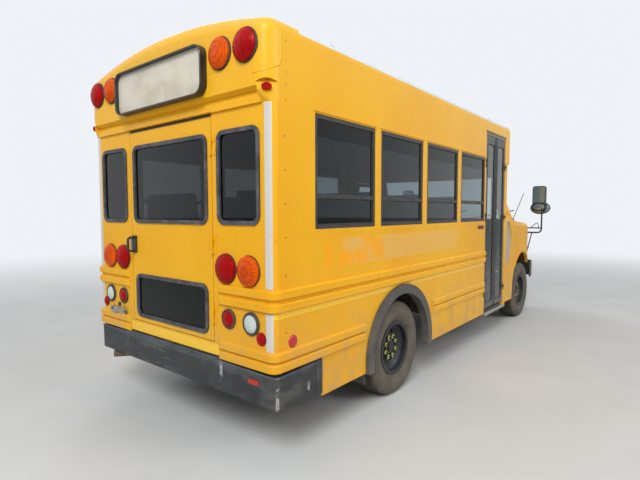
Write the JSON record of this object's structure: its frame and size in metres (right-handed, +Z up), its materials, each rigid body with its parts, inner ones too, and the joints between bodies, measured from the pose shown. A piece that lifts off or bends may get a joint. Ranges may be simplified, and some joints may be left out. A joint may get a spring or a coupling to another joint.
{
  "type": "short school bus",
  "caption": "Short yellow school bus on a van chassis, with swinging entrance, driver's and rear emergency doors, hood, stop arm, steered front wheels and turning wheels.",
  "frame": {"origin": "centre of the bounding box's base, on the ground under the wheels", "axes": "+Z up, the front faces -Y, +X to the bus's own left"},
  "size_m": [2.43, 5.9981, 2.668],
  "materials": {
    "body_yellow": "gloss",
    "roof_white": "gloss",
    "floor_grey": "matte",
    "frame_black": "satin",
    "seal_rubber": "matte",
    "tinted_glass": "gloss",
    "chassis_steel": "matte",
    "engine_iron": "matte",
    "tank_plastic": "matte",
    "exhaust_steel": "matte",
    "seat_vinyl": "satin",
    "dash_plastic": "matte",
    "lens_red": "gloss",
    "lens_amber": "gloss",
    "lens_clear": "gloss",
    "sign_cream": "satin",
    "stop_red": "satin",
    "tyre_rubber": "matte",
    "rim_steel": "satin"
  },
  "bodies": {
    "root": {"side_panel_left": "body_yellow", "side_panel_right": "body_yellow", "window_bands": "body_yellow", "roof_sides": "body_yellow", "rub_rails": "body_yellow", "rear_wall": "body_yellow", "rear_cap": "body_yellow", "front_cap": "body_yellow", "cab_shell": "body_yellow", "fenders": "body_yellow", "roof": "roof_white", "floor": "floor_grey", "window_frames": "frame_black", "front_bumper": "frame_black", "rear_bumper": "frame_black", "grille": "frame_black", "stop_bracket": "frame_black", "mirrors": "frame_black", "arch_flares": "seal_rubber", "body_glass": "tinted_glass", "windshield": "tinted_glass", "chassis_frame": "chassis_steel", "rear_axle": "chassis_steel", "front_suspension": "chassis_steel", "engine_block": "engine_iron", "fuel_tank": "tank_plastic", "exhaust": "exhaust_steel", "seats": "seat_vinyl", "dash": "dash_plastic", "lamps_red": "lens_red", "lamps_amber": "lens_amber", "lamps_clear": "lens_clear", "signs": "sign_cream"},
    "wheel_front_left": {"tyre_front_left": "tyre_rubber", "rim_front_left": "rim_steel"},
    "wheel_front_right": {"tyre_front_right": "tyre_rubber", "rim_front_right": "rim_steel"},
    "wheel_rear_left": {"tyre_rear_left": "tyre_rubber", "rim_rear_left": "rim_steel"},
    "wheel_rear_right": {"tyre_rear_right": "tyre_rubber", "rim_rear_right": "rim_steel"},
    "knuckle_left": {"knuckle_left": "chassis_steel"},
    "knuckle_right": {"knuckle_right": "chassis_steel"},
    "emergency_door": {"emergency_door": "body_yellow", "emergency_seals": "seal_rubber", "emergency_glass": "tinted_glass"},
    "entrance_rear": {"entrance_leaf_rear": "frame_black", "entrance_glass_rear": "tinted_glass"},
    "entrance_front": {"entrance_leaf_front": "frame_black", "entrance_glass_front": "tinted_glass"},
    "driver_door": {"driver_door": "body_yellow", "driver_glass": "tinted_glass"},
    "hood": {"hood": "body_yellow"},
    "stop_arm": {"stop_arm": "stop_red"}
  },
  "joints": [
    {"name": "steer_left", "type": "hinge", "parent": "root", "child": "knuckle_left", "pos_m": [0.77, -2.07, 0.382], "axis": [0, 0, 1], "range_deg": [-32, 32]},
    {"name": "spin_front_left", "type": "hinge", "parent": "knuckle_left", "child": "wheel_front_left", "pos_m": [0.862, -2.07, 0.382], "axis": [1, 0, 0], "continuous": true},
    {"name": "spin_rear_left", "type": "hinge", "parent": "root", "child": "wheel_rear_left", "pos_m": [0.859, 1.461, 0.382], "axis": [1, 0, 0], "continuous": true},
    {"name": "steer_right", "type": "hinge", "parent": "root", "child": "knuckle_right", "pos_m": [-0.77, -2.07, 0.382], "axis": [0, 0, 1], "range_deg": [-32, 32]},
    {"name": "spin_front_right", "type": "hinge", "parent": "knuckle_right", "child": "wheel_front_right", "pos_m": [-0.862, -2.07, 0.382], "axis": [1, 0, 0], "continuous": true},
    {"name": "spin_rear_right", "type": "hinge", "parent": "root", "child": "wheel_rear_right", "pos_m": [-0.859, 1.461, 0.382], "axis": [1, 0, 0], "continuous": true},
    {"name": "emergency_door_swing", "type": "hinge", "parent": "root", "child": "emergency_door", "pos_m": [-0.484, 2.916, 1.29], "axis": [0, 0, 1], "range_deg": [0, 105]},
    {"name": "entrance_rear_swing", "type": "hinge", "parent": "root", "child": "entrance_rear", "pos_m": [-1.025, -0.461, 1.42], "axis": [0, 0, -1], "range_deg": [0, 90]},
    {"name": "entrance_front_swing", "type": "hinge", "parent": "root", "child": "entrance_front", "pos_m": [-1.025, -1.134, 1.42], "axis": [0, 0, 1], "range_deg": [0, 90]},
    {"name": "driver_door_swing", "type": "hinge", "parent": "root", "child": "driver_door", "pos_m": [1, -1.533, 1.18], "axis": [0, 0, -1], "range_deg": [0, 65]},
    {"name": "hood_lift", "type": "hinge", "parent": "root", "child": "hood", "pos_m": [0, -1.97, 1.34], "axis": [-1, 0, 0], "range_deg": [0, 50]},
    {"name": "stop_arm_swing", "type": "hinge", "parent": "root", "child": "stop_arm", "pos_m": [1.057, -0.484, 1.19], "axis": [0, 0, -1], "range_deg": [0, 90]}
  ],
  "couplings": [
    {"joint": "steer_right", "follows": "steer_left", "ratio": 1}
  ]
}
